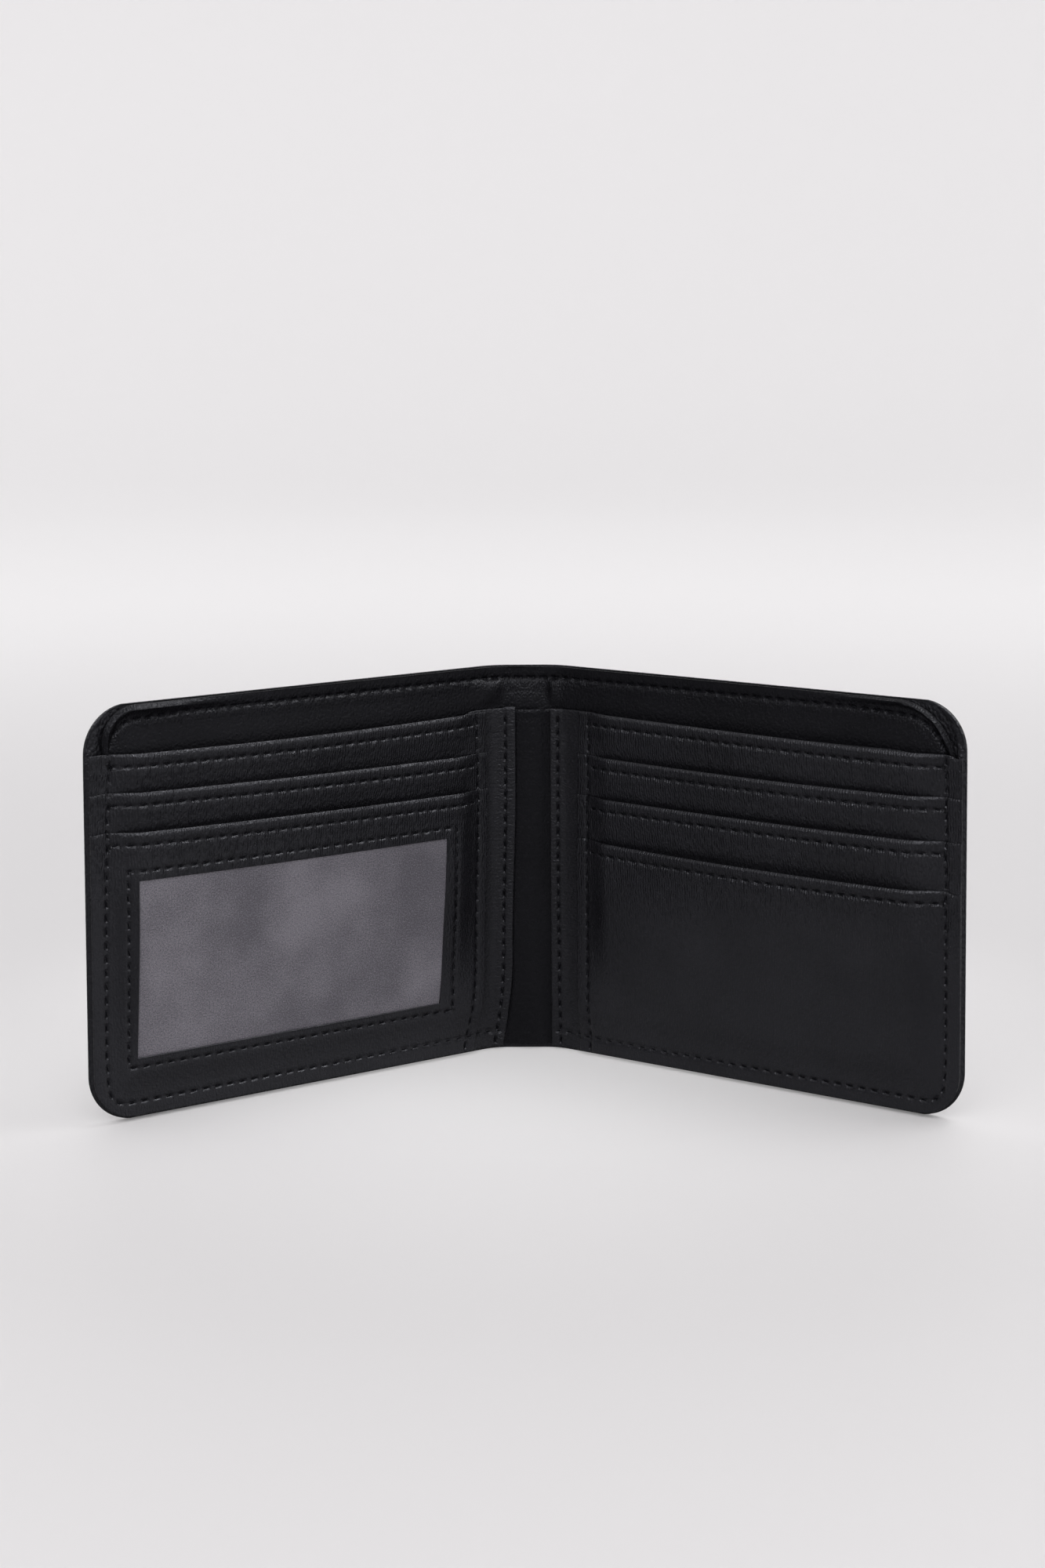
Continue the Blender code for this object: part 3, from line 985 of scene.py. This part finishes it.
def pocket(side, number, seams):
    """One card pocket, or the window panel, which is the front pocket of the left wing."""
    rows = POCKETS[side]
    node, inner_top, outer_top, sag, droop, inset = rows[number]
    start, outer, top = POCKET_START[side], OUTER_EDGE - SEAM_SIDE, max(inner_top, outer_top)
    room = 0.22 if node == "window_panel" else 0.0  # for the film
    rest, pressed = 4.12 + 0.72 * number + room, 2.07 + 0.32 * number + room / 2
    sheet = Sheet(side, rest, pressed, 0.4, start=start, low=1.15, top=top, end=OUTER_EDGE - inset)
    sheet.low_radius = CORNER - sheet.low
    sheet.hem = HEM_WIDTH
    sheet.inner_depth = 3.28 + 0.35 * number
    sheet.seed = 3 + 7 * number + side
    sheet.wall, sheet.skew = WALL_BOW, SKEW[side]
    sheet.mouth = 0.15 + 0.18 * number
    sheet.folds = False

    def lift(q):
        share = np.clip((q - INNER_SEAM[side]) / (outer - INNER_SEAM[side]), 0, 1)
        level = inner_top + (outer_top - inner_top) * share - sag * 4 * share * (1 - share)
        return level - top - droop * bell(q - outer - 2.3, 1.3)

    sheet.lift = lift
    if number + 1 < len(rows):
        sheet.covered = max(rows[number + 1][1:3])
    line = np.linspace(INNER_SEAM[side] + 0.7, outer - 0.6, 24)
    sheet.hem_seam = Seam([(q, top + lift(q) - HEM_SEAM) for q in line])
    sheet.seams = [seams["inner"], seams["outer"]]
    fine_q = [(start, 0.9), (INNER_SEAM[side], 1.4), (sheet.end, 0.9), (outer, 1.4)]
    fine_z = [(top, 0.9), (top - HEM_SEAM - 0.3, 1.4)]
    exact_q, exact_z, steps = (), (), ()
    if sheet.covered is None:
        fine_z += [(sheet.low, 0.9), (SEAM_BOTTOM, 1.3)]
    else:
        steps = [(sheet.low + 0.6, sheet.covered - 2.5, HIDDEN)]
    if node == "window_panel":
        sheet.window = WINDOW
        sheet.seams.append(window_seam())
        exact_q, exact_z = WINDOW[:2], WINDOW[2:]
        fine_q += [(WINDOW[0], 3.2), (WINDOW[1], 3.0)]
        fine_z += [(WINDOW[2], 3.0), (WINDOW[3], 3.0)]
    q_lines = grid_lines(start, sheet.end, EVEN, fine_q, exact_q)
    z_lines = grid_lines(sheet.low, top, EVEN, fine_z, exact_z, steps)
    add_sheet(sheet, q_lines, z_lines, below_edge(sheet), INNER, node + "_leather", node)
    return sheet


def window_film(side, behind):
    """The film behind the window panel follows the panel at its seam."""
    left, right, low, high = WINDOW
    margin = 1.9
    sheet = Sheet(side, 0, 0, 0.1, start=left - margin, end=right + margin)
    sheet.low, sheet.top = low - margin, high + margin
    sheet.low_radius = 0.0
    sheet.folds = False

    def middle(q, z):
        back = behind.middle(q, z) - behind.thickness(q, z) / 2
        into = np.minimum(np.minimum(q - left, right - q), np.minimum(z - low, high - z))
        free = smooth(into / 8.0) * smooth((z - 14.0) / 30.0)
        return back - 0.07 - (0.17 + 0.07 * ripple(q, z, 71, 26.0)) * free

    sheet.middle = middle
    sheet.thickness = lambda q, z: sheet.thick + 0.0 * q
    sheet.swing = lambda z: 0.0 * z
    q_lines = grid_lines(sheet.start, sheet.end, 1.0)
    z_lines = grid_lines(sheet.low, sheet.top, 1.0)
    names = "window_frosted_film", "window_film"
    add_sheet(sheet, q_lines, z_lines, even, FILM, *names, slot="frosted_film")


# ---------------------------------------------------------------- the sewing


HOLES = (0.23, 0.77)  # where a stitch begins and ends, as shares of the pitch
UNEVEN = 0.04  # how far off a stitch's ends are, in a random way
# The rings of a stitch: the share of the way along it, the lift, and the share of the radius
RINGS = [(0.0, -0.32, 0.65), (0.16, -0.06, 0.95), (0.5, 0.0, 1.0), (0.84, -0.06, 0.95)]
RINGS += [(1.0, -0.32, 0.65)]
RING_SIDES = 6
FLATTER = 0.8  # the share of its width that a thread is high


def stitches(name, side, seam, surface, outside):
    """A row of stitches, each one arched over the leather between its two holes.

    surface gives the depth of the leather that the thread lies on.
    """
    count, pitch, sides = seam.count, seam.pitch, RING_SIDES
    random = np.random.default_rng(len(name) * 7 + count)
    first, last = (((np.arange(count) + hole) * pitch)[:, None] for hole in HOLES)
    jitter = random.normal(0, UNEVEN, (2, count))
    share, lift, swell = np.array(RINGS).T[:, None, :]
    outward = -1.0 if outside else 1.0
    distance = first * (1 - share) + last * share
    across = SLANT * (1 - 2 * share) + jitter[0][:, None] * (1 - share) + jitter[1][:, None] * share
    q, z = seam.at(distance, across)
    depth = surface(q, z) + outward * lift
    centre = place(side, q, z, depth)
    above = place(side, q, z, depth + outward)
    normal = above - centre
    normal /= np.linalg.norm(normal, axis=-1, keepdims=True)
    forward = np.gradient(centre, axis=1)
    forward -= (forward * normal).sum(-1, keepdims=True) * normal
    forward /= np.linalg.norm(forward, axis=-1, keepdims=True)
    across_way = np.cross(forward, normal)
    angles = (np.arange(sides) * 2 * math.pi / sides)[:, None]
    radius = THREAD * METRES * swell[:, :, None, None]
    circle = np.cos(angles) * across_way[:, :, None, :]
    circle = circle + FLATTER * np.sin(angles) * normal[:, :, None, :]
    shape = centre[:, :, None, :] + radius * circle
    vertices = shape.reshape(-1, 3)
    number = np.arange(len(vertices)).reshape(count, len(RINGS), sides)
    following = np.roll(number, -1, axis=2)
    walls = np.stack([number[:, :-1], following[:, :-1], following[:, 1:], number[:, 1:]], axis=-1)
    caps = []
    for ring, turn in ((0, -1), (-1, 1)):
        for half in ([0, 1, 2, 3], [0, 3, 4, 5]):
            caps.append(number[:, ring, half][:, ::turn])
    quads = np.concatenate([walls.reshape(-1, 4), *caps])
    return mesh_object(name, vertices, quads, THREAD_LOOK, sharp=80.0)


def front_of(sheets):
    """The depth of whichever sheet is foremost at each place."""

    def front(q, z):
        depth = np.full(np.broadcast(q, z).shape, -9.0)
        for sheet in sheets:
            depth = np.where(sheet.covers(q, z), np.maximum(depth, sheet.front(q, z)), depth)
        return depth

    return front


def sew(name, side, seam, surface, through=False, outside=False):
    piece = stitches(name, side, seam, surface, outside)
    if through:
        through_fold(piece, side)
    else:
        on_wing(piece, side)


# ---------------------------------------------------------------- build


def build_wing(side):
    seams = wing_seams(side)
    cover, back_wall = shell(side, seams), divider(side, seams)
    lining(side)
    inner_panel(side)
    slip = slip_pocket(side, seams)
    pockets = [pocket(side, number, seams) for number in range(len(POCKETS[side]))]
    front = front_of([slip, *pockets])
    sew(named("thread_outer_seam", side), side, seams["outer"], front, through=True)
    sew(named("thread_divider_hem", side), side, seams["hem"], back_wall.front, through=True)
    sew(named("thread_inner_seam", side), side, seams["inner"], front)
    sew(named("thread_slip_hem", side), side, seams["slip"], slip.front, through=True)
    name = named("thread_shell_seam", side)
    sew(name, side, seams["shell"], cover.back, through=True, outside=True)
    for number, sheet in enumerate(pockets, 1):
        name = named("thread_pocket_hem", side) + "_" + str(number)
        sew(name, side, sheet.hem_seam, sheet.front)
    if side < 0:
        window_film(side, pockets[-1])
        sew("thread_window_seam", side, pockets[-1].seams[-1], pockets[-1].front)


for wing_side in (-1, 1):
    build_wing(wing_side)
for board in ("stiffener_left", "stiffener_right"):
    frame["nodes"][board].data.materials.clear()
    frame["nodes"][board].data.materials.append(BOARD)


# ---------------------------------------------------------------- stage, light and camera


# How much the floor glows near the middle, painted light that lightens the wallet's contact shadow,
# and how much the backdrop glows in its middle and far parts
GLOW = (0.31, 0.22, 0.02)


def stage():
    """A pale floor that curves up far away on every side. It glows near the middle, painted light
    that lightens the wallet's contact shadow, and its middle and far parts glow a little.
    """
    nodes = new_look("pale_backdrop")
    at = nodes.add("TexCoord").outputs["Object"]
    nodes.tint(nodes.noise(at, 3.0, 3.0), (0.755, 0.745, 0.75), (0.765, 0.755, 0.76))
    reach = nodes.add("VectorMath", {0: at}, operation="LENGTH").outputs["Value"]
    # Painted light: a pool of glow under the wallet that lightens its contact shadow
    near = nodes.rise(reach, 0.19, 0.0, GLOW[0])
    middle, far = nodes.rise(reach, 0.2, 0.95, GLOW[1]), nodes.rise(reach, 1.0, 2.4, GLOW[2])
    nodes.link(nodes.plus(nodes.plus(middle, far), near), "Emission Strength")
    nodes.even({"Emission Color": (1.0, 0.99, 0.995, 1.0)})
    nodes.even({"Roughness": 0.6, "Specular IOR Level": 0.2})
    nodes.owner.cycles.emission_sampling = "NONE"
    flat, turn, segments = 1.4, 1.1, 64
    bend = arc_points(flat, turn, turn, -90, 0, 13)[1:]
    profile = [(0.0, 0.0), (0.6, 0.0), (flat, 0.0), *bend, (flat + turn, 3.2)]
    ways = [2 * math.pi * step / segments for step in range(segments)]
    points = [(r * math.cos(a), r * math.sin(a), height) for r, height in profile for a in ways]
    number = np.arange(len(points)).reshape(len(profile), segments)
    following = np.roll(number, -1, axis=1)
    quads = np.stack([number[:-1], number[1:], following[1:], following[:-1]], axis=-1)
    floor = mesh_object("backdrop", np.array(points), quads.reshape(-1, 4), nodes.owner)
    floor.visible_shadow = False
    floor.visible_glossy = False


def area_light(name, place_at, aim, size, power):
    """A soft light that the camera doesn't see."""
    data = bpy.data.lights.new(name, "AREA")
    data.shape = "RECTANGLE"
    data.size, data.size_y = size
    data.energy = power
    light = bpy.data.objects.new(name, data)
    light.location = place_at
    light.rotation_euler = (Vector(aim) - Vector(place_at)).to_track_quat("-Z", "Y").to_euler()
    light.visible_camera = False
    bpy.context.scene.collection.objects.link(light)
    return light


def soft_room():
    """What the wallet reflects: an even dim room with the light and dark parts of ROOM."""
    world = bpy.data.worlds.new("soft_studio")
    nodes = Nodes(world, "Background")
    direction = nodes.add("TexCoord").outputs["Generated"]
    total = 0.03
    for towards, first, last, strength in ROOM:
        ways = {0: direction, 1: Vector(towards).normalized()}
        along = nodes.add("VectorMath", ways, operation="DOT_PRODUCT").outputs["Value"]
        total = nodes.plus(nodes.rise(along, first, last, strength), total)
    nodes.link(total, "Strength")
    nodes.even({"Color": (1.0, 0.995, 1.0, 1.0)})
    bpy.context.scene.world = world


# Each part of the room: its direction, the cosines where it begins and is full, and its strength,
# which is below 0 where it darkens the others
ROOM = [
    ((0, 1, 0.1), -0.1, 0.7, 0.18),
    ((0.12, 0, -1), -0.12, 0.26, 0.52),
    ((0, 0, -1), 0.30, 0.65, -0.42),
    ((0, -1, -0.1), 0.80, 0.99, -0.20),
    ((0, -0.35, 1), 0.35, 0.9, 0.36),
    ((0.9, -0.35, 0.35), 0.75, 0.98, 0.30),
    ((-0.9, -0.35, 0.45), 0.80, 0.98, 0.08),
    ((0.26, 0.18, 1), 0.93, 0.99, 1.25),
    ((-0.75, 0.35, 0.55), 0.82, 0.97, 0.5),
]


def lighting():
    """A key light and a fill, and three lights that only show as shine on the leather."""
    soft_room()
    area_light("key", (0.58, 0.05, 0.98), (0.0, 0.0, 0.05), (0.5, 0.5), 1.0)
    area_light("front_fill", (-0.1, -1.1, 0.95), (0.0, 0.0, 0.0), (1.5, 0.8), 6.5)
    for name, place_at, aim, size, power in (
        ("back_wall", (0.0, 1.3, 0.75), (0.0, 0.0, 0.10), (3.2, 1.3), 10.0),
        ("key_shine", (0.62, 0.0, 0.95), (0.0, 0.0, 0.05), (0.42, 0.42), 5.7),
        ("front_shine", (-0.04, -0.97, 0.96), (0.0, 0.0, 0.09), (0.42, 0.32), 3.0),
    ):
        area_light(name, place_at, aim, size, power).visible_diffuse = False
    bpy.context.scene.view_settings.view_transform = "Standard"


def camera():
    """Looks along +Y from above the wallet, with the view shifted down to keep uprights upright."""
    data = bpy.data.cameras.new("camera")
    data.lens = 64.8
    data.sensor_width = 36.0
    data.shift_y = -0.2
    data.clip_start = 0.05
    data.clip_end = 30.0
    made = bpy.data.objects.new("camera", data)
    made.location = (0.0, -0.6818, 0.1984)
    made.rotation_euler = Euler((math.radians(90 - 4.69), math.radians(0.285), 0.0))
    bpy.context.scene.collection.objects.link(made)
    bpy.context.scene.camera = made


stage()
lighting()
camera()
